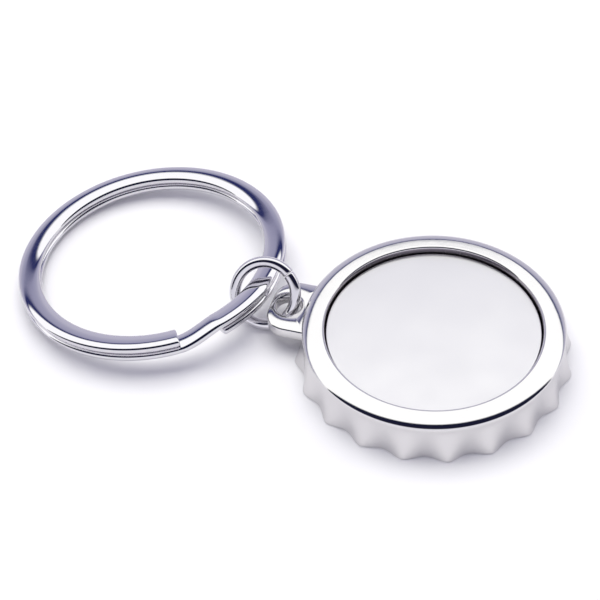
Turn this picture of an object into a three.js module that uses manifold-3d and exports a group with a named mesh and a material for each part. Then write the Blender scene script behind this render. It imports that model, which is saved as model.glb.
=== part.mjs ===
// Keychain bottle opener shaped like a crown cap.
//
// A die-cast cap carries a flat insert in its top and, in its hollow underside, a riveted
// steel catch that hooks under a bottle's crown. A lug on the cap's skirt holds a jump ring,
// and the jump ring holds a two-turn split ring for the keys.
//
// Millimetres, +Z up. The part stands on the table on the cap's fluted skirt, with the split
// ring lying out towards -X. The cap's axis is the working axis of every dimension below; the
// whole group is then moved so that its origin is at the middle of its footprint.

import * as THREE from "three";
import { mergeVertices } from "three/addons/utils/BufferGeometryUtils.js";
import Module from "manifold-3d";

const wasm = await Module();
wasm.setup();

// Cap: overall
const CAP_HEIGHT = 5.4;
const CREST_RADIUS = 18;          // flute crests at the foot of the skirt
const VALLEY_RADIUS = 17.1;       // between two crests, at the foot
const RIM_RADIUS = 16.8;          // plain wall under the shoulder
const SHOULDER_WIDTH = 1.4;       // the rim rounds over into the wall along a quarter ellipse
const SHOULDER_HEIGHT = 0.7;
const FLUTES = 20;
const FLUTE_PHASE = THREE.MathUtils.degToRad(1.8);   // a crest stands this far round from +X
const FLUTE_TOP = 4.2;            // height at which the flutes have faded into the wall
const FLARE_CURVE = 1.4;          // how soon the flutes fade on their way up
const CREST_SHARPNESS = 1.6;      // 2 gives even waves; less gives narrower crests
const FOOT_ROUNDING = 0.25;
const CAP_SEGMENTS = 160;

// Cap: recess for the insert, above, and the hollow that goes over a crown, below
const RECESS_RADIUS = 13.9;
const RECESS_FLOOR = 3.7;
const CEILING = 2.8;
const HOLLOW_MOUTH_RADIUS = 15.6;
const HOLLOW_TOP_RADIUS = 15.2;
const HOLLOW_FILLET = 0.5;

// Insert and the adhesive pad under it
const PAD_RADIUS = 12.5;
const PAD_THICKNESS = 0.15;
const INSERT_RADIUS = 13.7;
const INSERT_THICKNESS = 0.6;
const INSERT_EDGE = 0.1;

// Steel catch under the far side of the cap, with two rivets into bosses of the casting
const CATCH_BOTTOM = 0.7;
const CATCH_THICKNESS = 0.9;
const CATCH_RADIUS = 15;
const CATCH_CHORD = 10.2;         // straight edge, measured from the cap's axis
const TONGUE_REACH = 7.2;         // the tongue's tip, measured from the cap's axis
const TONGUE_HALF_WIDTH = 5.2;
const RIVET_X = 12;
const RIVET_Y = 6.6;
const RIVET_SHANK_RADIUS = 0.9;
const RIVET_CLEARANCE = 0.05;
const RIVET_HEAD_RADIUS = 1.7;
const RIVET_HEAD_HEIGHT = 0.5;
const RIVET_TIP = 2.3;
const BOSS_RADIUS = 2.1;

// Lug on the skirt, towards -X
const LUG_TIP = 21.85;            // measured from the cap's axis
const LUG_HALF_WIDTH = 4.4;
const LUG_CORNER = 3;
const LUG_BOTTOM = 2.2;
const LUG_THICKNESS = 1.6;
const LUG_EDGE = 0.4;
const LUG_ROOT = 16;              // ends inside the skirt's wall
const HOLE_X = 19.4;
const HOLE_RADIUS = 1.7;
const HOLE_LIP = 0.4;             // the hole's mouth opens out by this much at each face

// Jump ring, standing in the lug's hole and leaning back over the split ring
const JUMP_RADIUS = 4.17;         // centre line
const JUMP_WIRE_RADIUS = 0.75;
const JUMP_CENTRE = new THREE.Vector3(-22.95, 0.95, 4.1);
const JUMP_LEAN = THREE.MathUtils.degToRad(52.8);   // its plane against the table
const JUMP_CUT_ANGLE = THREE.MathUtils.degToRad(48);
const JUMP_CUT_GAP = 0.12;
const JUMP_CUT_STEP = 0.2;        // how far the two cut ends miss each other sideways

// Split ring, lying on the table with its linked side lifted by the jump ring
const SPLIT_OUTER_RADIUS = 18.45;
const SPLIT_WIRE_WIDTH = 2.95;
const SPLIT_WIRE_THICKNESS = 1.18;
const SPLIT_WIRE_CORNER = 0.45;
const SPLIT_TURN_GAP = 0.08;      // between the two turns
const SPLIT_CENTRE = new THREE.Vector2(-40.44, 4.53);
const SPLIT_TILT = THREE.MathUtils.degToRad(4.75);
const SPLIT_TILT_TOWARDS = THREE.MathUtils.degToRad(-11);
const SPLIT_LOWER_END = THREE.MathUtils.degToRad(-37.5);
const SPLIT_UPPER_END = THREE.MathUtils.degToRad(-56.5);
const SPLIT_END_MARGIN = THREE.MathUtils.degToRad(1);
const FLOOR_CLEARANCE = 0.02;

// The footprint's middle, seen from the cap's axis
const FOOTPRINT_CENTRE = new THREE.Vector2(-20.56335, 2.5701);

// ---- geometry helpers ----

function welded(geometry) {
  const bare = geometry.clone();
  bare.deleteAttribute("normal");
  bare.deleteAttribute("uv");
  const merged = mergeVertices(bare, 1e-4);
  const index = merged.index.array;
  const kept = [];
  for (let i = 0; i < index.length; i += 3) {
    const [a, b, c] = [index[i], index[i + 1], index[i + 2]];
    if (a !== b && b !== c && c !== a) kept.push(a, b, c);
  }
  merged.setIndex(kept);
  return merged;
}

function solid(geometry) {
  const shape = welded(geometry);
  return new wasm.Manifold(new wasm.Mesh({
    numProp: 3,
    vertProperties: new Float32Array(shape.attributes.position.array),
    triVerts: new Uint32Array(shape.index.array),
  }));
}

function geometryOf(manifold) {
  const mesh = manifold.getMesh();
  const geometry = new THREE.BufferGeometry();
  geometry.setAttribute("position", new THREE.BufferAttribute(mesh.vertProperties, 3));
  geometry.setIndex(new THREE.BufferAttribute(mesh.triVerts, 1));
  geometry.computeVertexNormals();
  return geometry;
}

// A profile of [radius, height] points turned about the Z axis.
function turned(profile, segments) {
  const points = profile.map(([radius, height]) => new THREE.Vector2(radius, height));
  return new THREE.LatheGeometry(points, segments).rotateX(Math.PI / 2);
}

// Points of a quarter round, from angle start to angle end, without its last point.
function arcPoints(centre, radius, start, end, steps) {
  const points = [];
  for (let i = 0; i < steps; i += 1) {
    const angle = start + ((end - start) * i) / steps;
    points.push([centre[0] + radius * Math.cos(angle), centre[1] + radius * Math.sin(angle)]);
  }
  return points;
}

function metal(color, roughness) {
  return new THREE.MeshStandardMaterial({ color, roughness, metalness: 1 });
}

function piece(name, geometry, material) {
  const mesh = new THREE.Mesh(geometry, material);
  mesh.name = name;
  return mesh;
}

// ---- cap ----

// How far the skirt stands out at an angle: crests are narrow rounded ridges, and the
// hollows between them are broad shallow scallops that fade out up the wall.
function skirtRadius(angle, height) {
  const rise = Math.min(Math.max(height / FLUTE_TOP, 0), 1);
  const flare = (1 - rise) ** FLARE_CURVE;
  const wave = Math.abs(Math.sin(((angle - FLUTE_PHASE) * FLUTES) / 2));
  const crest = 1 - wave ** CREST_SHARPNESS;
  const foot = VALLEY_RADIUS + (CREST_RADIUS - VALLEY_RADIUS) * crest;
  return RIM_RADIUS + (foot - RIM_RADIUS) * flare;
}

// The rim's shoulder, from the wall up to the flat, without its last point.
function shoulderPoints(steps) {
  const points = [];
  for (let i = 0; i < steps; i += 1) {
    const angle = (Math.PI / 2) * (i / steps);
    points.push([RIM_RADIUS - SHOULDER_WIDTH * (1 - Math.cos(angle)),
      CAP_HEIGHT - SHOULDER_HEIGHT * (1 - Math.sin(angle))]);
  }
  return points;
}

function capShell() {
  const fillet = [HOLLOW_TOP_RADIUS - HOLLOW_FILLET, CEILING - HOLLOW_FILLET];
  const skirtHeights = [FOOT_ROUNDING, 1, 2, 3, FLUTE_TOP];
  const profile = [
    [0, CEILING],
    ...arcPoints(fillet, HOLLOW_FILLET, Math.PI / 2, 0, 3),
    [HOLLOW_TOP_RADIUS, CEILING - HOLLOW_FILLET],
    [HOLLOW_MOUTH_RADIUS, 0],
    [VALLEY_RADIUS - FOOT_ROUNDING, 0],
    ...skirtHeights.map((height) => [RIM_RADIUS, height]),
    ...shoulderPoints(5),
    [RIM_RADIUS - SHOULDER_WIDTH, CAP_HEIGHT],
    [RECESS_RADIUS, CAP_HEIGHT],
    [RECESS_RADIUS, RECESS_FLOOR],
    [0, RECESS_FLOOR],
  ];
  const shell = turned(profile, CAP_SEGMENTS);
  const position = shell.attributes.position;
  for (let i = 0; i < position.count; i += 1) {
    const x = position.getX(i);
    const y = position.getY(i);
    const z = position.getZ(i);
    const radius = Math.hypot(x, y);
    const onWall = radius > RIM_RADIUS - 1e-3 && z < FLUTE_TOP + 1e-3;
    const onFoot = radius > HOLLOW_MOUTH_RADIUS + 1e-3 && z < 1e-3;
    if (!onWall && !onFoot) continue;
    const angle = Math.atan2(y, x);
    const wanted = skirtRadius(angle, z) - (onFoot ? FOOT_ROUNDING : 0);
    position.setXYZ(i, (x * wanted) / radius, (y * wanted) / radius, z);
  }
  return solid(shell);
}

function lug() {
  const right = LUG_HALF_WIDTH;
  const tip = -LUG_TIP;
  const corner = LUG_CORNER;
  const outline = new THREE.Shape();
  outline.moveTo(-LUG_ROOT, -right);
  outline.lineTo(-LUG_ROOT, right);
  outline.lineTo(tip + corner, right);
  outline.absarc(tip + corner, right - corner, corner, Math.PI / 2, Math.PI, false);
  outline.lineTo(tip, -right + corner);
  outline.absarc(tip + corner, -right + corner, corner, Math.PI, Math.PI * 1.5, false);
  const tab = new THREE.ExtrudeGeometry(outline, {
    depth: LUG_THICKNESS - 2 * LUG_EDGE,
    bevelThickness: LUG_EDGE,
    bevelSize: LUG_EDGE,
    bevelOffset: -LUG_EDGE,
    bevelSegments: 3,
    curveSegments: 8,
  });
  return solid(tab.translate(0, 0, LUG_BOTTOM + LUG_EDGE));
}

// The hole's cutter is waisted, so that the hole's mouth is rounded at both faces.
function lugHole() {
  const bottom = LUG_BOTTOM;
  const top = LUG_BOTTOM + LUG_THICKNESS;
  const outer = HOLE_RADIUS + HOLE_LIP;
  const past = 0.5;
  const cutter = turned([
    [0, bottom - past],
    [outer, bottom - past],
    ...arcPoints([outer, bottom + HOLE_LIP], HOLE_LIP, -Math.PI / 2, -Math.PI, 3),
    [HOLE_RADIUS, bottom + HOLE_LIP],
    ...arcPoints([outer, top - HOLE_LIP], HOLE_LIP, Math.PI, Math.PI / 2, 3),
    [outer, top],
    [outer, top + past],
    [0, top + past],
  ], 36);
  return solid(cutter.translate(-HOLE_X, 0, 0));
}

function capBody() {
  const catchTop = CATCH_BOTTOM + CATCH_THICKNESS;
  let body = capShell().add(lug()).subtract(lugHole());
  for (const side of [-1, 1]) {
    const into = 0.3;
    const boss = turned([[0, catchTop], [BOSS_RADIUS, catchTop],
      [BOSS_RADIUS, CEILING + into], [0, CEILING + into]], 32);
    const holeRadius = RIVET_SHANK_RADIUS + RIVET_CLEARANCE;
    const holeTop = RIVET_TIP + RIVET_CLEARANCE;
    const hole = turned([[0, catchTop - into], [holeRadius, catchTop - into],
      [holeRadius, holeTop], [0, holeTop]], 24);
    body = body.add(solid(boss.translate(RIVET_X, side * RIVET_Y, 0)));
    body = body.subtract(solid(hole.translate(RIVET_X, side * RIVET_Y, 0)));
  }
  return piece("cap_body", geometryOf(body), metal(0xd6d5dc, 0.12));
}

// ---- insert ----

function adhesivePad() {
  const top = RECESS_FLOOR + PAD_THICKNESS;
  const pad = turned([[0, RECESS_FLOOR], [PAD_RADIUS, RECESS_FLOOR], [PAD_RADIUS, top],
    [0, top]], 72);
  const film = new THREE.MeshStandardMaterial({ color: 0xe9e6dc, roughness: 0.6, metalness: 0 });
  return piece("adhesive_pad", geometryOf(solid(pad)), film);
}

function insertDisc() {
  const bottom = RECESS_FLOOR + PAD_THICKNESS;
  const top = bottom + INSERT_THICKNESS;
  const disc = turned([[0, bottom], [INSERT_RADIUS, bottom], [INSERT_RADIUS, top - INSERT_EDGE],
    [INSERT_RADIUS - INSERT_EDGE, top], [0, top]], 96);
  return piece("insert_disc", geometryOf(solid(disc)), metal(0xefeef3, 0.35));
}

// ---- catch ----

function catchPlate() {
  const halfChord = Math.sqrt(CATCH_RADIUS ** 2 - CATCH_CHORD ** 2);
  const endAngle = Math.atan2(halfChord, CATCH_CHORD);
  const outline = new THREE.Shape();
  outline.absarc(0, 0, CATCH_RADIUS, -endAngle, endAngle, false);
  outline.lineTo(CATCH_CHORD, TONGUE_HALF_WIDTH + 1);
  outline.bezierCurveTo(CATCH_CHORD, TONGUE_HALF_WIDTH - 1, TONGUE_REACH, TONGUE_HALF_WIDTH,
    TONGUE_REACH, 0);
  outline.bezierCurveTo(TONGUE_REACH, -TONGUE_HALF_WIDTH, CATCH_CHORD, 1 - TONGUE_HALF_WIDTH,
    CATCH_CHORD, -TONGUE_HALF_WIDTH - 1);
  for (const side of [-1, 1]) {
    const hole = new THREE.Path();
    hole.absarc(RIVET_X, side * RIVET_Y, RIVET_SHANK_RADIUS + RIVET_CLEARANCE, 0, Math.PI * 2, true);
    outline.holes.push(hole);
  }
  const plate = new THREE.ExtrudeGeometry(outline, {
    depth: CATCH_THICKNESS,
    bevelEnabled: false,
    curveSegments: 12,
  });
  plate.translate(0, 0, CATCH_BOTTOM);
  return piece("catch_plate", geometryOf(solid(plate)), metal(0xb9b9bd, 0.28));
}

function catchRivet(name, side) {
  const bottom = CATCH_BOTTOM - RIVET_HEAD_HEIGHT;
  const head = [];
  const steps = 6;
  for (let i = 0; i <= steps; i += 1) {
    const angle = (i / steps) * (Math.PI / 2);
    head.push([RIVET_HEAD_RADIUS * Math.sin(angle),
      CATCH_BOTTOM - RIVET_HEAD_HEIGHT * Math.cos(angle)]);
  }
  head[0] = [0, bottom];
  const rivet = turned([...head, [RIVET_SHANK_RADIUS, CATCH_BOTTOM],
    [RIVET_SHANK_RADIUS, RIVET_TIP], [0, RIVET_TIP]], 24);
  rivet.translate(RIVET_X, side * RIVET_Y, 0);
  return piece(name, geometryOf(solid(rivet)), metal(0xc4c4c8, 0.22));
}

// ---- rings ----

// The jump ring's wire: one turn, cut open, its ends a little out of line.
class JumpTurn extends THREE.Curve {
  getPoint(t, target = new THREE.Vector3()) {
    const opening = JUMP_CUT_GAP / JUMP_RADIUS;
    const angle = JUMP_CUT_ANGLE + opening / 2 + t * (Math.PI * 2 - opening);
    const aside = JUMP_CUT_STEP * (t - 0.5);
    return target.set(JUMP_RADIUS * Math.cos(angle), JUMP_RADIUS * Math.sin(angle), aside);
  }
}

function jumpRing() {
  const section = new THREE.Shape();
  section.absarc(0, 0, JUMP_WIRE_RADIUS, 0, Math.PI * 2, false);
  const wire = new THREE.ExtrudeGeometry(section, {
    steps: 64,
    curveSegments: 6,
    extrudePath: new JumpTurn(),
  });
  const mesh = piece("jump_ring", geometryOf(solid(wire)), metal(0xcfced6, 0.06));
  mesh.position.copy(JUMP_CENTRE);
  mesh.rotation.x = JUMP_LEAN;
  return mesh;
}

// The split ring's wire: a lower turn, a short climb between the two cut ends, and an upper
// turn. Both turns run anticlockwise, seen from above.
class SplitTurns extends THREE.Curve {
  getPoint(t, target = new THREE.Vector3()) {
    const radius = SPLIT_OUTER_RADIUS - SPLIT_WIRE_WIDTH / 2;
    const pitch = SPLIT_WIRE_THICKNESS + SPLIT_TURN_GAP;
    const lastAngle = SPLIT_UPPER_END + Math.PI * 4;
    const angle = SPLIT_LOWER_END + t * (lastAngle - SPLIT_LOWER_END);
    const climbStart = SPLIT_UPPER_END + Math.PI * 2 + SPLIT_END_MARGIN;
    const climbEnd = SPLIT_LOWER_END + Math.PI * 2 - SPLIT_END_MARGIN;
    const climb = THREE.MathUtils.smoothstep(angle, climbStart, climbEnd);
    const height = SPLIT_WIRE_THICKNESS / 2 + pitch * climb;
    return target.set(radius * Math.cos(angle), radius * Math.sin(angle), height);
  }
}

// A flat wire with well rounded edges; its thickness lies along x and its width along y.
function splitWireSection() {
  const halfThickness = SPLIT_WIRE_THICKNESS / 2;
  const halfWidth = SPLIT_WIRE_WIDTH / 2;
  const corner = SPLIT_WIRE_CORNER;
  const section = new THREE.Shape();
  section.moveTo(halfThickness, -halfWidth + corner);
  section.lineTo(halfThickness, halfWidth - corner);
  section.absarc(halfThickness - corner, halfWidth - corner, corner, 0, Math.PI / 2, false);
  section.absarc(corner - halfThickness, halfWidth - corner, corner, Math.PI / 2, Math.PI, false);
  section.lineTo(-halfThickness, corner - halfWidth);
  section.absarc(corner - halfThickness, corner - halfWidth, corner, Math.PI, Math.PI * 1.5, false);
  section.absarc(halfThickness - corner, corner - halfWidth, corner, Math.PI * 1.5, Math.PI * 2,
    false);
  return section;
}

function splitRing() {
  const wire = new THREE.ExtrudeGeometry(splitWireSection(), {
    steps: 130,
    curveSegments: 1,
    extrudePath: new SplitTurns(),
  });
  const ring = piece("split_ring", geometryOf(solid(wire)), metal(0xcfced6, 0.08));
  const tilted = new THREE.Group();
  const lifted = SPLIT_OUTER_RADIUS * Math.sin(SPLIT_TILT) + FLOOR_CLEARANCE;
  tilted.position.set(SPLIT_CENTRE.x, SPLIT_CENTRE.y, lifted);
  const across = new THREE.Vector3(Math.sin(SPLIT_TILT_TOWARDS), -Math.cos(SPLIT_TILT_TOWARDS), 0);
  tilted.quaternion.setFromAxisAngle(across, SPLIT_TILT);
  tilted.add(ring);
  return tilted;
}

// ---- assembly ----

const opener = new THREE.Group();
opener.add(
  capBody(),
  adhesivePad(),
  insertDisc(),
  catchPlate(),
  catchRivet("catch_rivet_left", 1),
  catchRivet("catch_rivet_right", -1),
  jumpRing(),
  splitRing(),
);
opener.position.set(-FOOTPRINT_CENTRE.x, -FOOTPRINT_CENTRE.y, 0);

export default opener;
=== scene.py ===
# Keychain bottle opener: a crown-cap opener with a flat insert, a jump ring and a split ring.
# Sizes below are in millimetres and are turned to metres where a mesh is made.
import math

import bmesh
import bpy
from mathutils import Matrix, Vector


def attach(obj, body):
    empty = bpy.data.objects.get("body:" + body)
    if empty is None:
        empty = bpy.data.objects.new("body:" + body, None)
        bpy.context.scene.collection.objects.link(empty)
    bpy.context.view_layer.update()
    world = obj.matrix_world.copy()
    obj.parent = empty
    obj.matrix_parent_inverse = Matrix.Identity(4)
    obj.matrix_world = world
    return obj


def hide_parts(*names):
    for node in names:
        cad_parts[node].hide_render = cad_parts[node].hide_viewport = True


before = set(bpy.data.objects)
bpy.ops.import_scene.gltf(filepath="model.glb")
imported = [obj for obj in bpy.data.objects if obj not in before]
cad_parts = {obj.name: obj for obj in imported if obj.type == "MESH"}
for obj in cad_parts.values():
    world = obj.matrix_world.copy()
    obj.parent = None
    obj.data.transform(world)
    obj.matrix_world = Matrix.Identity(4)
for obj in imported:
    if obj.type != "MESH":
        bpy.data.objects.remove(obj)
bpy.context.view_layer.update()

MM = 0.001

# ---- sizes of the real thing, as the frame has them ----

CAP_AXIS = (20.5634, -2.5701)
CAP_HEIGHT = 5.4
CREST_RADIUS, VALLEY_RADIUS, RIM_RADIUS = 18.0, 17.1, 16.8
FLUTES, FLUTE_TOP, FLUTE_PHASE = 20, 4.2, math.radians(1.8)
CREST_SHARPNESS, FLARE_CURVE = 1.6, 1.4
SKIRT_SKIN, SKIRT_BLEND = 0.8, 0.5     # only what lies this near the wall's face is pressed out
SHOULDER_WIDTH, SHOULDER_HEIGHT = 1.4, 0.7
RECESS_RADIUS, RECESS_FLOOR, RECESS_LIP = 13.9, 3.7, 0.32
HOLLOW_FILLET, FOOT_ROUNDING, MOUTH_ROUNDING = 0.5, 0.25, 0.15
# Radii of extra rings on the cap's flats, which keep its faces even.
CEILING_RINGS, FOOT_RINGS, RIM_RINGS, FLOOR_RING = (6, 11), (16.2, 16.4), (14.9, 14.4), 10
CEILING, MOUTH_RADIUS, TOP_RADIUS = 2.8, 15.6, 15.2
PAD_RADIUS, PAD_THICKNESS = 12.5, 0.15
INSERT_RADIUS, INSERT_THICKNESS, INSERT_EDGE = 13.7, 0.6, 0.1
CATCH_BOTTOM, CATCH_THICKNESS, CATCH_RADIUS, CATCH_CHORD = 0.7, 0.9, 15.0, 10.2
TONGUE_REACH, TONGUE_HALF_WIDTH, TONGUE_SHOULDER, CATCH_EDGE = 7.2, 5.2, 1, 0.08
RIVET_X, RIVET_Y, SHANK_RADIUS, SHANK_CLEARANCE = 12.0, 6.6, 0.9, 0.05
RIVET_HEAD_RADIUS, RIVET_HEAD_HEIGHT, RIVET_TIP = 1.7, 0.5, 2.3
BOSS_RADIUS, BOSS_FILLET, BOSS_ROOT = 2.1, 0.3, 0.3
LUG_TIP, LUG_ROOT, LUG_HALF_WIDTH, LUG_CORNER = 21.85, 16.0, 4.4, 3.0
LUG_BOTTOM, LUG_THICKNESS, LUG_EDGE = 2.2, 1.6, 0.66
LUG_EDGE_FULLNESS = 0.38          # 0.5 is a round edge, 0.25 a straight chamfer
HOLE_X, HOLE_RADIUS = 19.4, 1.7
JUMP_RADIUS, JUMP_WIRE_RADIUS = 4.17, 0.75
JUMP_CENTRE, JUMP_LEAN = (-2.3867, -1.6201, 4.1), math.radians(52.8)
JUMP_CUT, JUMP_CUT_GAP, JUMP_CUT_STEP = math.radians(48), 0.12, 0.2
SPLIT_RADIUS, SPLIT_WIDTH, SPLIT_THICKNESS = 18.45, 2.95, 1.18
SPLIT_TURN_GAP, SPLIT_SQUARENESS, ROUND_WIRE = 0.08, 2.7, 2.0
SPLIT_END_EASE, JUMP_END_EASE, SPLIT_END_MARGIN = 0.3, 0.12, math.radians(1)
SPLIT_CENTRE = (-19.8767, 1.9599)
SPLIT_TILT, SPLIT_TOWARDS = math.radians(4.75), math.radians(-11)
FLOOR_CLEARANCE = 0.02
SPLIT_LOWER_END, SPLIT_UPPER_END = math.radians(-37.5), math.radians(-56.5)


# ---- colours and node trees ----

def linear(hex_colour, alpha=1.0):
    """An sRGB hex colour as the linear values that a shader reads."""
    parts = [int(hex_colour[i:i + 2], 16) / 255 for i in (1, 3, 5)]
    return (*[p / 12.92 if p <= 0.04045 else ((p + 0.055) / 1.055) ** 2.4 for p in parts], alpha)


def node(tree, kind, settings=None, **inputs):
    """Adds a node, with its settings, and its inputs as values or as links from another output."""
    made = tree.nodes.new(kind)
    for name, value in (settings or {}).items():
        setattr(made, name, value)
    for name, value in inputs.items():
        place = int(name[1:]) if name[0] == "i" and name[1:].isdigit() else name.replace("_", " ")
        socket = made.inputs[place]
        if isinstance(value, bpy.types.NodeSocket):
            tree.links.new(value, socket)
        else:
            socket.default_value = value
    return made


# ---- metals ----

def plated_metal(name, colour, roughness, grain_mm, grain_depth, patch_mm, patch):
    """A metal whose gloss varies in soft patches and whose surface has a fine relief."""
    material = bpy.data.materials.new(name)
    material.use_nodes = True
    tree = material.node_tree
    shader = tree.nodes["Principled BSDF"]
    shader.inputs["Metallic"].default_value = 1.0
    shader.inputs["Base Color"].default_value = linear(colour)
    place = node(tree, "ShaderNodeTexCoord").outputs["Object"]
    patches = node(tree, "ShaderNodeTexNoise", Vector=place, Scale=1 / (patch_mm * MM), Detail=3.0)
    spread = node(tree, "ShaderNodeMapRange", Value=patches.outputs[0], i1=0.35, i2=0.65,
                  i3=max(roughness - patch, 0.01), i4=roughness + patch)
    tree.links.new(spread.outputs[0], shader.inputs["Roughness"])
    grain = node(tree, "ShaderNodeTexNoise", Vector=place, Scale=1 / (grain_mm * MM), Detail=2.0)
    relief = node(tree, "ShaderNodeBump", Strength=1.0, Distance=grain_depth * MM,
                  Height=grain.outputs[0])
    tree.links.new(relief.outputs[0], shader.inputs["Normal"])
    return material


# Bright nickel plate over a polished die casting: a near mirror with a faint orange peel,
# which softens the edges of what it reflects.
cap_nickel = plated_metal("bright_nickel_on_die_cast_zinc", "#e1e0e0", 0.09, 1.6, 0.004, 6, 0.02)
# The recess's wall is duller nickel than the rim, and its darker colour is painted shade for the
# recess.
recess_nickel_painted_shade = plated_metal("duller_nickel_recess_wall_painted_shade", "#a19ba3", 0.25, 0.5, 0.004, 2, 0.05)
# The hollow was never polished: the casting's grain shows through a thin plate.
hollow_nickel = plated_metal("thin_nickel_on_unpolished_casting", "#bdbcc0", 0.32, 0.35, 0.008, 4,
                             0.06)
# Clear anodised aluminium, bead blasted to an even satin that shows no clear reflection.
insert_satin = plated_metal("satin_anodised_aluminium", "#eeedee", 0.33, 0.12, 0.001, 5, 0.03)
# Polished spring wire under bright nickel: the clearest mirror on the piece.
ring_nickel = plated_metal("bright_nickel_on_spring_wire", "#dddce0", 0.045, 2.2, 0.002, 5, 0.015)
# Stamped steel under a thin plate, with the rolling grain still showing.
catch_steel = plated_metal("nickel_plated_stamped_steel", "#b4b4b8", 0.28, 0.25, 0.003, 3, 0.06)
# Rivet heads are formed in a polished die, so they are brighter than the plate they hold.
rivet_steel = plated_metal("formed_steel_rivet_head", "#c6c6ca", 0.20, 0.3, 0.002, 1, 0.05)

# Double-sided film: a dull plastic that only the gap round the insert could show.
film = bpy.data.materials.new("matt_adhesive_film")
film.use_nodes = True
film_tree = film.node_tree
film_shader = film_tree.nodes["Principled BSDF"]
film_place = node(film_tree, "ShaderNodeTexCoord").outputs["Object"]
film_mottle = node(film_tree, "ShaderNodeTexNoise", Vector=film_place, Scale=1 / (0.8 * MM))
film_colour = node(film_tree, "ShaderNodeMix", {"data_type": "RGBA"}, i0=film_mottle.outputs[0],
                   i6=linear("#e9e6dc"), i7=linear("#dcd8cc"))
film_tree.links.new(film_colour.outputs[2], film_shader.inputs["Base Color"])
film_shader.inputs["Roughness"].default_value = 0.65


# ---- mesh helpers ----

def new_piece(name, vertices, faces, materials, face_material=None, smooth=True):
    """A mesh object from points in millimetres, with its faces turned outwards."""
    mesh = bpy.data.meshes.new(name)
    mesh.from_pydata([tuple(c * MM for c in v) for v in vertices], [], faces)
    for material in materials:
        mesh.materials.append(material)
    work = bmesh.new()
    work.from_mesh(mesh)
    if face_material:
        for face in work.faces:
            face.material_index = face_material(face.calc_center_median() / MM)
    bmesh.ops.remove_doubles(work, verts=work.verts, dist=1e-7)
    bmesh.ops.recalc_face_normals(work, faces=work.faces)
    for face in work.faces:
        face.smooth = smooth
    work.to_mesh(mesh)
    work.free()
    obj = bpy.data.objects.new(name, mesh)
    bpy.context.scene.collection.objects.link(obj)
    return obj


def round_over(centre, radius, start, end, steps):
    """Points of an arc, from one angle in degrees to another, both ends included."""
    points = []
    for i in range(steps + 1):
        angle = math.radians(start + (end - start) * i / steps)
        points.append((centre[0] + radius * math.cos(angle), centre[1] + radius * math.sin(angle)))
    return points


def spaced(a, b, count):
    """Points between two profile points, without the ends."""
    return [(a[0] + (b[0] - a[0]) * i / count, a[1] + (b[1] - a[1]) * i / count)
            for i in range(1, count)]


def turned(name, profile, segments, centre, materials, face_material=None):
    """A (radius, height) profile turned about an upright axis; its ends lie on the axis."""
    vertices, rings, faces = [], [], []
    for radius, height in profile:
        if radius == 0:
            rings.append([len(vertices)])
            vertices.append((centre[0], centre[1], height))
            continue
        rings.append(range(len(vertices), len(vertices) + segments))
        for k in range(segments):
            angle = 2 * math.pi * k / segments
            vertices.append((centre[0] + radius * math.cos(angle),
                             centre[1] + radius * math.sin(angle), height))
    for low, high in zip(rings, rings[1:]):
        for k in range(segments):
            n = (k + 1) % segments
            face = [low[k % len(low)], low[n % len(low)], high[n % len(high)], high[k % len(high)]]
            faces.append(list(dict.fromkeys(face)))
    return new_piece(name, vertices, faces, materials, face_material)


def from_tree(obj, tree, **sizes):
    """Runs a geometry tree on an object, and leaves its plain result as the object's mesh."""
    modifier = obj.modifiers.new("made", "NODES")
    modifier.node_group = tree
    for item in tree.interface.items_tree:
        if item.item_type == "SOCKET" and item.in_out == "INPUT" and item.name in sizes:
            modifier[item.identifier] = sizes[item.name]
    depsgraph = bpy.context.evaluated_depsgraph_get()
    depsgraph.update()
    made = bpy.data.meshes.new_from_object(obj.evaluated_get(depsgraph))
    obj.modifiers.clear()
    old = obj.data
    obj.data = made
    made.name = obj.name
    bpy.data.meshes.remove(old)
    for polygon in made.polygons:
        polygon.use_smooth = True
    return obj


def geometry_tree(name, **sizes):
    """A new geometry tree with a named input for each size, and its input and output nodes."""
    tree = bpy.data.node_groups.new(name, "GeometryNodeTree")
    tree.interface.new_socket("Geometry", in_out="INPUT", socket_type="NodeSocketGeometry")
    for label, value in sizes.items():
        kind = {int: "NodeSocketInt", float: "NodeSocketFloat"}.get(type(value),
                                                                  "NodeSocketMaterial")
        socket = tree.interface.new_socket(label, in_out="INPUT", socket_type=kind)
        if value is not None:
            socket.default_value = value
    tree.interface.new_socket("Geometry", in_out="OUTPUT", socket_type="NodeSocketGeometry")
    return tree, tree.nodes.new("NodeGroupInput"), tree.nodes.new("NodeGroupOutput")


def maths(tree, operation, *values):
    made = node(tree, "ShaderNodeMath", {"operation": operation},
                **{f"i{i}": value for i, value in enumerate(values)})
    return made.outputs[0]


# ---- camera ----

LENS_MM, SENSOR_MM = 88.338, 36
VIEW_PITCH, VIEW_YAW, VIEW_ROLL = 0.8093, 0.3596, -0.0757
VIEW_PLACE = Vector((49.265, -126.231, 143.739))

camera_data = bpy.data.cameras.new("camera")
camera_data.sensor_width = SENSOR_MM
camera_data.lens = LENS_MM
camera_data.clip_start = 0.01
camera = bpy.data.objects.new("camera", camera_data)
bpy.context.scene.collection.objects.link(camera)
level_right = Vector((math.cos(VIEW_YAW), math.sin(VIEW_YAW), 0))
level_ahead = Vector((-math.sin(VIEW_YAW), math.cos(VIEW_YAW), 0))
upright = Vector((0, 0, 1))
ahead = math.cos(VIEW_PITCH) * level_ahead - math.sin(VIEW_PITCH) * upright
above = math.sin(VIEW_PITCH) * level_ahead + math.cos(VIEW_PITCH) * upright
camera_x = math.cos(VIEW_ROLL) * level_right + math.sin(VIEW_ROLL) * above
camera_y = math.cos(VIEW_ROLL) * above - math.sin(VIEW_ROLL) * level_right
camera.matrix_world = (Matrix.Translation(VIEW_PLACE * MM)
                       @ Matrix((camera_x, camera_y, -ahead)).transposed().to_4x4())
bpy.context.scene.camera = camera


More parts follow.
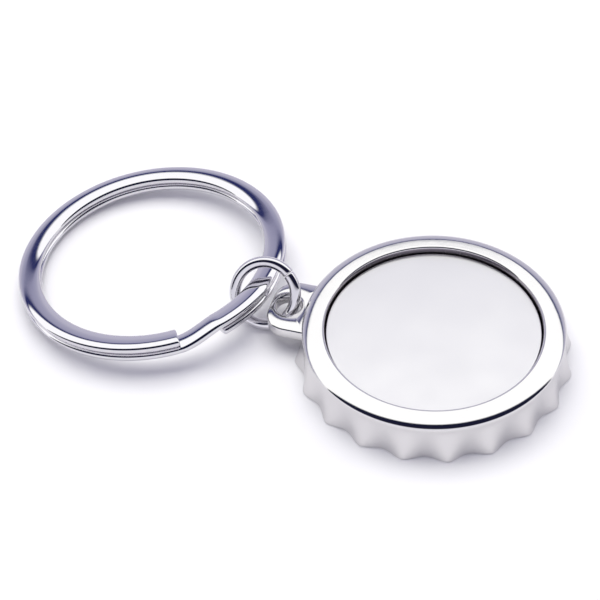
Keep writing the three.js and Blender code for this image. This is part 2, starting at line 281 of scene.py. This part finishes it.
# ---- cap ----

def cap_profile():
    """The cap's section, from the middle of its ceiling round the skirt to the recess's floor."""
    fillet, foot, mouth = HOLLOW_FILLET, FOOT_ROUNDING, MOUTH_ROUNDING
    points = [(0, CEILING), *[(radius, CEILING) for radius in CEILING_RINGS]]
    points += round_over((TOP_RADIUS - fillet, CEILING - fillet), fillet, 90, 0, 8)
    points += spaced((TOP_RADIUS, CEILING - fillet), (MOUTH_RADIUS, mouth), 6)
    points += round_over((MOUTH_RADIUS + mouth, mouth), mouth, 180, 270, 5)
    points += [(radius, 0) for radius in FOOT_RINGS]
    points += round_over((RIM_RADIUS - foot, foot), foot, 270, 360, 6)
    points += spaced((RIM_RADIUS, foot), (RIM_RADIUS, CAP_HEIGHT - SHOULDER_HEIGHT), 22)
    points += [(RIM_RADIUS - SHOULDER_WIDTH * (1 - x), CAP_HEIGHT - SHOULDER_HEIGHT * (1 - y))
               for x, y in round_over((0, 0), 1, 0, 90, 18)]
    points += [(radius, CAP_HEIGHT) for radius in RIM_RINGS]
    points += round_over((RECESS_RADIUS + RECESS_LIP, CAP_HEIGHT - RECESS_LIP), RECESS_LIP,
                         90, 180, 6)
    points += spaced((RECESS_RADIUS, CAP_HEIGHT - RECESS_LIP), (RECESS_RADIUS, RECESS_FLOOR), 4)
    points += [(RECESS_RADIUS, RECESS_FLOOR), (FLOOR_RING, RECESS_FLOOR), (0, RECESS_FLOOR)]
    return points


def cap_finish(at):
    """Polished outside, duller on the recess's wall and floor where the darker colour is painted
    shade, dullest in the hollow.
    """
    wall_margin, mouth_margin, height_margin = 0.06, 0.02, 0.05
    radius = math.hypot(at[0] - CAP_AXIS[0], at[1] - CAP_AXIS[1])
    if radius < RECESS_RADIUS + wall_margin and at[2] > CEILING + height_margin:
        return 1
    if radius < MOUTH_RADIUS - mouth_margin and at[2] < CEILING + height_margin:
        return 2
    return 0


def flute_tree(sizes):
    """Presses the flutes into a plain wall: narrow crests at the foot that fade out upwards."""
    tree, given, result = geometry_tree("pressed_flutes", **sizes)
    size = given.outputs
    spot = node(tree, "ShaderNodeSeparateXYZ", Vector=node(tree, "GeometryNodeInputPosition")
                .outputs[0]).outputs
    x = maths(tree, "SUBTRACT", spot[0], size["CentreX"])
    y = maths(tree, "SUBTRACT", spot[1], size["CentreY"])
    radius = maths(tree, "SQRT", maths(tree, "ADD", maths(tree, "MULTIPLY", x, x),
                                       maths(tree, "MULTIPLY", y, y)))
    turn = maths(tree, "SUBTRACT", maths(tree, "ARCTAN2", y, x), size["Phase"])
    wave = maths(tree, "ABSOLUTE", maths(tree, "SINE", maths(
        tree, "MULTIPLY", maths(tree, "MULTIPLY", turn, size["Flutes"]), 0.5)))
    crest = maths(tree, "SUBTRACT", 1.0, maths(tree, "POWER", wave, CREST_SHARPNESS))
    span = maths(tree, "SUBTRACT", size["Crest"], size["Valley"])
    foot = maths(tree, "ADD", size["Valley"], maths(tree, "MULTIPLY", span, crest))
    rise = node(tree, "ShaderNodeMath", {"operation": "DIVIDE", "use_clamp": True},
                i0=spot[2], i1=size["Fade"]).outputs[0]
    flare = maths(tree, "POWER", maths(tree, "SUBTRACT", 1.0, rise), FLARE_CURVE)
    outwards = maths(tree, "MULTIPLY", maths(tree, "SUBTRACT", foot, size["Wall"]), flare)
    inner = maths(tree, "SUBTRACT", size["Wall"], SKIRT_SKIN * MM)
    share = node(tree, "ShaderNodeMapRange", Value=radius, i1=inner,
                 i2=maths(tree, "ADD", inner, SKIRT_BLEND * MM)).outputs[0]
    stretch = maths(tree, "DIVIDE", maths(tree, "MULTIPLY", outwards, share),
                    maths(tree, "MAXIMUM", radius, 0.001))
    push = node(tree, "ShaderNodeCombineXYZ", X=maths(tree, "MULTIPLY", x, stretch),
                Y=maths(tree, "MULTIPLY", y, stretch))
    moved = node(tree, "GeometryNodeSetPosition", Geometry=size["Geometry"],
                 Offset=push.outputs[0])
    done = node(tree, "GeometryNodeRealizeInstances", Geometry=moved.outputs[0])
    tree.links.new(done.outputs[0], result.inputs[0])
    return tree


cap = turned("cap_shell", cap_profile(), 640, CAP_AXIS, [cap_nickel, recess_nickel_painted_shade, hollow_nickel],
             cap_finish)
flute_sizes = {"Flutes": FLUTES, "Phase": FLUTE_PHASE, "Crest": CREST_RADIUS * MM,
               "Valley": VALLEY_RADIUS * MM, "Wall": RIM_RADIUS * MM, "Fade": FLUTE_TOP * MM,
               "CentreX": CAP_AXIS[0] * MM, "CentreY": CAP_AXIS[1] * MM}
from_tree(cap, flute_tree(flute_sizes), **flute_sizes)
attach(cap, "cap")
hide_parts("cap_body")


# ---- lug ----

def lug_outline(angle):
    """How far the lug's edge is from the middle of its hole, in one direction."""
    left, right = HOLE_X - LUG_TIP, HOLE_X - LUG_ROOT
    dx, dy = math.cos(angle), math.sin(angle)
    low, high = 0.0, 12.0         # the far end is past every edge
    for _ in range(40):
        middle = (low + high) / 2
        px, py = dx * middle, dy * middle
        corner = max(left + LUG_CORNER - px, 0.0), max(abs(py) - LUG_HALF_WIDTH + LUG_CORNER, 0.0)
        inside = math.hypot(*corner) < LUG_CORNER and px < right
        low, high = (middle, high) if inside else (low, middle)
    return low


def make_lug():
    steps = 192
    top = LUG_BOTTOM + LUG_THICKNESS
    centre = (CAP_AXIS[0] - HOLE_X, CAP_AXIS[1])
    vertices, faces = [], []
    for k in range(steps):
        angle = 2 * math.pi * k / steps
        c, s = math.cos(angle), math.sin(angle)
        for reach, height in ((HOLE_RADIUS, top), (lug_outline(angle), top),
                              (lug_outline(angle), LUG_BOTTOM), (HOLE_RADIUS, LUG_BOTTOM)):
            vertices.append((centre[0] + c * reach, centre[1] + s * reach, height))
    for k in range(steps):
        n = (k + 1) % steps
        for i in range(4):
            j = (i + 1) % 4
            faces.append([4 * k + i, 4 * n + i, 4 * n + j, 4 * k + j])
    lug = new_piece("cap_lug", vertices, faces, [cap_nickel])
    edges = lug.modifiers.new("edges", "BEVEL")
    edges.width, edges.segments, edges.profile = LUG_EDGE * MM, 6, LUG_EDGE_FULLNESS
    edges.limit_method, edges.angle_limit = "ANGLE", math.radians(50)
    return lug


cap_lug = make_lug()
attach(cap_lug, "cap")
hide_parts("cap_body")


# ---- insert and the film under it ----

film_top = RECESS_FLOOR + PAD_THICKNESS
insert_top = film_top + INSERT_THICKNESS
pad = turned("adhesive_film_disc", [(0, RECESS_FLOOR), (PAD_RADIUS, RECESS_FLOOR),
                                    (PAD_RADIUS, film_top), (0, film_top)], 160, CAP_AXIS, [film])
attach(pad, "cap")
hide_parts("adhesive_pad")

insert = turned("insert_face", [
    (0, film_top), (7, film_top), (INSERT_RADIUS - 0.05, film_top),
    (INSERT_RADIUS, film_top + 0.05), (INSERT_RADIUS, insert_top - INSERT_EDGE),
    *round_over((INSERT_RADIUS - INSERT_EDGE, insert_top - INSERT_EDGE), INSERT_EDGE, 0, 90, 5),
    (13.4, insert_top), (8, insert_top), (0, insert_top)], 256, CAP_AXIS, [insert_satin])
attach(insert, "cap")
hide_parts("insert_disc")


# ---- catch, with its rivets and their bosses ----

def add_outline(curve, points):
    spline = curve.splines.new("POLY")
    spline.points.add(len(points) - 1)
    for target, (x, y) in zip(spline.points, points):
        target.co = ((CAP_AXIS[0] + x) * MM, (CAP_AXIS[1] + y) * MM, 0, 1)
    spline.use_cyclic_u = True


def bezier(a, b, c, d, steps):
    """Points of one Bezier stretch, without its first point."""
    points = []
    for i in range(1, steps + 1):
        t = i / steps
        w = ((1 - t) ** 3, 3 * t * (1 - t) ** 2, 3 * t * t * (1 - t), t ** 3)
        points.append(tuple(w[0] * a[k] + w[1] * b[k] + w[2] * c[k] + w[3] * d[k]
                            for k in (0, 1)))
    return points


def make_catch():
    end = math.degrees(math.acos(CATCH_CHORD / CATCH_RADIUS))
    outline = round_over((0, 0), CATCH_RADIUS, -end, end, 64)
    wide, chord, reach, bend = TONGUE_HALF_WIDTH, CATCH_CHORD, TONGUE_REACH, TONGUE_SHOULDER
    outline.append((chord, wide + bend))
    outline += bezier((chord, wide + bend), (chord, wide - bend), (reach, wide), (reach, 0), 24)
    outline += bezier((reach, 0), (reach, -wide), (chord, bend - wide), (chord, -wide - bend), 24)
    curve = bpy.data.curves.new("catch_outline", "CURVE")
    curve.dimensions, curve.fill_mode = "2D", "BOTH"
    curve.extrude = (CATCH_THICKNESS / 2 - CATCH_EDGE) * MM
    curve.bevel_depth, curve.bevel_resolution, curve.offset = CATCH_EDGE * MM, 3, -CATCH_EDGE * MM
    add_outline(curve, outline)
    for side in (-1, 1):
        # A circle of 30 points, taken the other way round because it is a hole.
        add_outline(curve, round_over((RIVET_X, side * RIVET_Y), SHANK_RADIUS + SHANK_CLEARANCE,
                                      360, 12, 29))
    drawn = bpy.data.objects.new("catch_outline", curve)
    bpy.context.scene.collection.objects.link(drawn)
    depsgraph = bpy.context.evaluated_depsgraph_get()
    depsgraph.update()
    mesh = bpy.data.meshes.new_from_object(drawn.evaluated_get(depsgraph))
    bpy.data.objects.remove(drawn)
    mesh.transform(Matrix.Translation((0, 0, (CATCH_BOTTOM + CATCH_THICKNESS / 2) * MM)))
    work = bmesh.new()
    work.from_mesh(mesh)
    bmesh.ops.remove_doubles(work, verts=work.verts, dist=1e-6)
    bmesh.ops.recalc_face_normals(work, faces=work.faces)
    work.to_mesh(mesh)
    work.free()
    mesh.materials.clear()
    mesh.materials.append(catch_steel)
    mesh.set_sharp_from_angle(angle=math.radians(30))
    made = bpy.data.objects.new("catch", mesh)
    bpy.context.scene.collection.objects.link(made)
    return made


def row_tree():
    """Sets copies of one turned shape in a row along Y, and gives them their metal."""
    tree, given, result = geometry_tree("row_of_copies", Count=2, Spacing=0.01, Metal=None)
    size = given.outputs
    start = maths(tree, "MULTIPLY", size["Spacing"], -0.5)
    row = node(tree, "GeometryNodeMeshLine", Count=size["Count"], Start_Location=node(
        tree, "ShaderNodeCombineXYZ", Y=start).outputs[0], Offset=node(
            tree, "ShaderNodeCombineXYZ", Y=size["Spacing"]).outputs[0])
    copies = node(tree, "GeometryNodeInstanceOnPoints", Points=row.outputs[0],
                  Instance=size["Geometry"])
    real = node(tree, "GeometryNodeRealizeInstances", Geometry=copies.outputs[0])
    coated = node(tree, "GeometryNodeSetMaterial", Geometry=real.outputs[0],
                  Material=size["Metal"])
    tree.links.new(coated.outputs[0], result.inputs[0])
    return tree


catch = make_catch()
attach(catch, "cap")
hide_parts("catch_plate")

pair = row_tree()
PAIR_PLACE = (CAP_AXIS[0] + RIVET_X, CAP_AXIS[1])
head_bottom = CATCH_BOTTOM - RIVET_HEAD_HEIGHT
head_steps = 14
head = [(0, head_bottom)]
for step in range(1, head_steps + 1):
    swing = math.radians(90 * step / head_steps)
    head.append((RIVET_HEAD_RADIUS * math.sin(swing),
                 CATCH_BOTTOM - RIVET_HEAD_HEIGHT * math.cos(swing)))
rivets = turned("catch_rivets", [*head, (SHANK_RADIUS, CATCH_BOTTOM), (SHANK_RADIUS, RIVET_TIP),
                                 (0, RIVET_TIP)], 48, PAIR_PLACE, [rivet_steel])
from_tree(rivets, pair, Count=2, Spacing=2 * RIVET_Y * MM, Metal=rivet_steel)
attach(rivets, "cap")
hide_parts("catch_rivet_left", "catch_rivet_right")

boss_bottom = CATCH_BOTTOM + CATCH_THICKNESS
bosses = turned("catch_bosses", [
    (0, boss_bottom), (BOSS_RADIUS, boss_bottom),
    *round_over((BOSS_RADIUS + BOSS_FILLET, CEILING - BOSS_FILLET), BOSS_FILLET, 180, 90, 6),
    (BOSS_RADIUS + BOSS_FILLET, CEILING + BOSS_ROOT), (0, CEILING + BOSS_ROOT)],
                64, PAIR_PLACE, [hollow_nickel])
from_tree(bosses, pair, Count=2, Spacing=2 * RIVET_Y * MM, Metal=hollow_nickel)
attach(bosses, "cap")
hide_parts("cap_body")


# ---- rings ----

def wire_tree():
    """Draws wire of one section along a path, with its cut ends eased."""
    tree, given, result = geometry_tree("drawn_wire", Width=0.001, Thickness=0.001,
                                        Squareness=2.0, Ease=0.0003, Metal=None)
    size = given.outputs
    path = node(tree, "GeometryNodeMeshToCurve", Mesh=size["Geometry"])
    circle = node(tree, "GeometryNodeCurvePrimitiveCircle", Resolution=56, Radius=1.0)
    spot = node(tree, "ShaderNodeSeparateXYZ", Vector=node(tree, "GeometryNodeInputPosition")
                .outputs[0]).outputs
    power = maths(tree, "DIVIDE", 2.0, size["Squareness"])
    sides = [maths(tree, "MULTIPLY", maths(tree, "MULTIPLY", maths(tree, "SIGN", part), maths(
        tree, "POWER", maths(tree, "ABSOLUTE", part), power)), maths(
            tree, "MULTIPLY", size[label], 0.5))
             for part, label in ((spot[0], "Width"), (spot[1], "Thickness"))]
    rounded = node(tree, "GeometryNodeSetPosition", Geometry=circle.outputs[0], Position=node(
        tree, "ShaderNodeCombineXYZ", X=sides[0], Y=sides[1]).outputs[0])
    along = node(tree, "GeometryNodeSplineParameter").outputs["Length"]
    whole = node(tree, "GeometryNodeSplineLength").outputs["Length"]
    nearest = maths(tree, "MINIMUM", along, maths(tree, "SUBTRACT", whole, along))
    part = node(tree, "ShaderNodeMath", {"operation": "DIVIDE", "use_clamp": True}, i0=nearest,
                i1=size["Ease"]).outputs[0]
    short = maths(tree, "SUBTRACT", 1.0, part)
    arc = maths(tree, "SUBTRACT", 1.0, maths(tree, "SQRT", maths(
        tree, "SUBTRACT", 1.0, maths(tree, "MULTIPLY", short, short))))
    loss = maths(tree, "MULTIPLY", maths(tree, "MULTIPLY", arc, 2.0), maths(
        tree, "DIVIDE", size["Ease"], size["Width"]))
    wire = node(tree, "GeometryNodeCurveToMesh", Curve=path.outputs[0],
                Profile_Curve=rounded.outputs[0], Fill_Caps=True,
                Scale=maths(tree, "SUBTRACT", 1.0, loss))
    real = node(tree, "GeometryNodeRealizeInstances", Geometry=wire.outputs[0])
    coated = node(tree, "GeometryNodeSetMaterial", Geometry=real.outputs[0],
                  Material=size["Metal"])
    tree.links.new(coated.outputs[0], result.inputs[0])
    return tree


def wire_path(name, points):
    """A path for wire, as a chain of edges through points in millimetres."""
    mesh = bpy.data.meshes.new(name)
    mesh.from_pydata([tuple(c * MM for c in p) for p in points],
                     [(i, i + 1) for i in range(len(points) - 1)], [])
    obj = bpy.data.objects.new(name, mesh)
    bpy.context.scene.collection.objects.link(obj)
    return obj


def eased_steps(count, ends):
    """Fractions from 0 to 1 with close steps at both ends, where the wire's ends are rounded."""
    fine = [0, 0.1, 0.25, 0.45, 0.7, 1.0]
    body = [i / count for i in range(1, count)]
    return ([f * ends for f in fine] + [b for b in body if ends * 1.5 < b < 1 - ends * 1.5]
            + [1 - f * ends for f in reversed(fine)])


def split_points():
    middle = SPLIT_RADIUS - SPLIT_WIDTH / 2
    pitch = SPLIT_THICKNESS + SPLIT_TURN_GAP
    last = SPLIT_UPPER_END + 4 * math.pi
    start = SPLIT_UPPER_END + 2 * math.pi + SPLIT_END_MARGIN
    stop = SPLIT_LOWER_END + 2 * math.pi - SPLIT_END_MARGIN
    points = []
    for t in eased_steps(420, SPLIT_END_EASE / (middle * (last - SPLIT_LOWER_END))):
        angle = SPLIT_LOWER_END + t * (last - SPLIT_LOWER_END)
        u = min(max((angle - start) / (stop - start), 0), 1)
        climb = (u + u * u * (3 - 2 * u)) / 2
        points.append((middle * math.cos(angle), middle * math.sin(angle),
                       SPLIT_THICKNESS / 2 + pitch * climb))
    return points


def jump_points():
    opening = JUMP_CUT_GAP / JUMP_RADIUS
    points = []
    for t in eased_steps(180, JUMP_END_EASE / (2 * math.pi * JUMP_RADIUS)):
        angle = JUMP_CUT + opening / 2 + t * (2 * math.pi - opening)
        points.append((JUMP_RADIUS * math.cos(angle), JUMP_RADIUS * math.sin(angle),
                       JUMP_CUT_STEP * (t - 0.5)))
    return points


drawn_wire = wire_tree()
lift = SPLIT_RADIUS * math.sin(SPLIT_TILT) + FLOOR_CLEARANCE
across = Vector((math.sin(SPLIT_TOWARDS), -math.cos(SPLIT_TOWARDS), 0))
split = wire_path("split_ring_wire", split_points())
from_tree(split, drawn_wire, Width=SPLIT_WIDTH * MM, Thickness=SPLIT_THICKNESS * MM,
          Squareness=SPLIT_SQUARENESS, Ease=SPLIT_END_EASE * MM, Metal=ring_nickel)
split.data.transform(Matrix.Translation((SPLIT_CENTRE[0] * MM, SPLIT_CENTRE[1] * MM, lift * MM))
                     @ Matrix.Rotation(SPLIT_TILT, 4, across))
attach(split, "split_ring")
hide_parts("split_ring")

jump = wire_path("jump_ring_wire", jump_points())
from_tree(jump, drawn_wire, Width=2 * JUMP_WIRE_RADIUS * MM, Thickness=2 * JUMP_WIRE_RADIUS * MM,
          Squareness=ROUND_WIRE, Ease=JUMP_END_EASE * MM, Metal=ring_nickel)
jump.data.transform(Matrix.Translation(Vector(JUMP_CENTRE) * MM)
                    @ Matrix.Rotation(JUMP_LEAN, 4, "X"))
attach(jump, "jump_ring")
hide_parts("jump_ring")


# ---- floor ----

def make_floor():
    half = 1500
    floor = new_piece("floor", [(-half, -half, 0), (half, -half, 0), (half, half, 0),
                                (-half, half, 0)], [[0, 1, 2, 3]], [], smooth=False)
    paper = bpy.data.materials.new("white_studio_sweep")
    paper.use_nodes = True
    shader = paper.node_tree.nodes["Principled BSDF"]
    shader.inputs["Roughness"].default_value = 0.9
    shader.inputs["Specular IOR Level"].default_value = 0.1
    tree = paper.node_tree
    # Mirror rays see the sweep slightly greyer than it is, which sets how bright the skirt looks.
    mirrored = node(tree, "ShaderNodeLightPath").outputs["Is Glossy Ray"]
    shade = node(tree, "ShaderNodeMix", {"data_type": "RGBA"}, i0=mirrored,
                 i6=linear("#fbfbfd"), i7=linear("#efeef1"))
    tree.links.new(shade.outputs[2], shader.inputs["Base Color"])
    # Only its upper face is there: from below it is clear, so that the hollow can be looked at.
    below = node(tree, "ShaderNodeNewGeometry").outputs["Backfacing"]
    clear = node(tree, "ShaderNodeBsdfTransparent")
    either = node(tree, "ShaderNodeMixShader", i0=below, i1=shader.outputs[0],
                  i2=clear.outputs[0])
    tree.links.new(either.outputs[0], tree.nodes["Material Output"].inputs[0])
    floor.data.materials.append(paper)
    return floor


make_floor()


# ---- light ----

def studio_sky():
    """The room that the metal mirrors, from the back wall over the top to the front.

    It isn't plain: a narrow navy band and a wide near-black one cross a pale room, and the
    metal shows them as its dark stripes. They are fixed in the room, set for the main camera.
    """
    world = bpy.data.worlds.new("studio")
    bpy.context.scene.world = world
    world.use_nodes = True
    tree = world.node_tree
    shader = tree.nodes["Background"]
    direction = node(tree, "ShaderNodeTexCoord").outputs["Generated"]
    parts = node(tree, "ShaderNodeSeparateXYZ", Vector=direction).outputs
    back = maths(tree, "ADD", maths(tree, "MULTIPLY", parts[0], -math.sin(VIEW_YAW)),
                 maths(tree, "MULTIPLY", parts[1], math.cos(VIEW_YAW)))
    turn = maths(tree, "DIVIDE", maths(tree, "ARCTAN2", parts[2], back), math.pi)
    ramp = node(tree, "ShaderNodeValToRGB", i0=turn)
    bands = [(0.0, "#bcbaca"), (0.16, "#b4b2c2"), (0.210, "#9392aa"), (0.223, "#262b5a"),
             (0.235, "#262b5a"), (0.247, "#ffffff"), (0.465, "#ffffff"), (0.505, "#12152c"),
             (0.76, "#1c1b2e"), (0.815, "#d4d3db"), (1.0, "#e4e3ea")]
    while len(ramp.color_ramp.elements) < len(bands):
        ramp.color_ramp.elements.new(0.5)
    for element, (place, colour) in zip(ramp.color_ramp.elements, bands):
        element.position = place
        element.color = linear(colour)
    tree.links.new(ramp.outputs[0], shader.inputs["Color"])
    shader.inputs["Strength"].default_value = 1.35


def softbox(name, place, target, size, power, colour):
    light = bpy.data.lights.new(name, "AREA")
    light.shape, light.size, light.size_y = "RECTANGLE", size[0], size[1]
    light.energy, light.color = power, linear(colour)[:3]
    obj = bpy.data.objects.new(name, light)
    obj.location = Vector(place)
    obj.rotation_mode = "QUATERNION"
    obj.rotation_quaternion = (Vector(target) - Vector(place)).to_track_quat("-Z", "Y")
    obj.visible_glossy = False   # the metal mirrors the room and not the softboxes
    bpy.context.scene.collection.objects.link(obj)
    return obj


studio_sky()
softbox("key_softbox", (-0.12, 0.22, 0.6), (0, 0, 0), (0.6, 0.6), 2.4, "#fffdf6")
softbox("fill_softbox", (0.15, -0.2, 0.7), (0, 0, 0), (0.9, 0.9), 1.0, "#e3e0fc")
# A lamp inside the hollow, hidden from the camera, because the skirt shuts out the room's light.
# It is there for views from below, and would not be in a real studio.
hollow_panel = softbox("hollow_panel", (CAP_AXIS[0] * MM, CAP_AXIS[1] * MM, 0.05 * MM),
                       (CAP_AXIS[0] * MM, CAP_AXIS[1] * MM, 1),
                       (2 * TOP_RADIUS * MM, 2 * TOP_RADIUS * MM), 0.0013, "#f4f3f6")
hollow_panel.data.shape = "DISK"
hollow_panel.visible_glossy = True
hollow_panel.visible_camera = False

bpy.context.scene.view_settings.view_transform = "Standard"
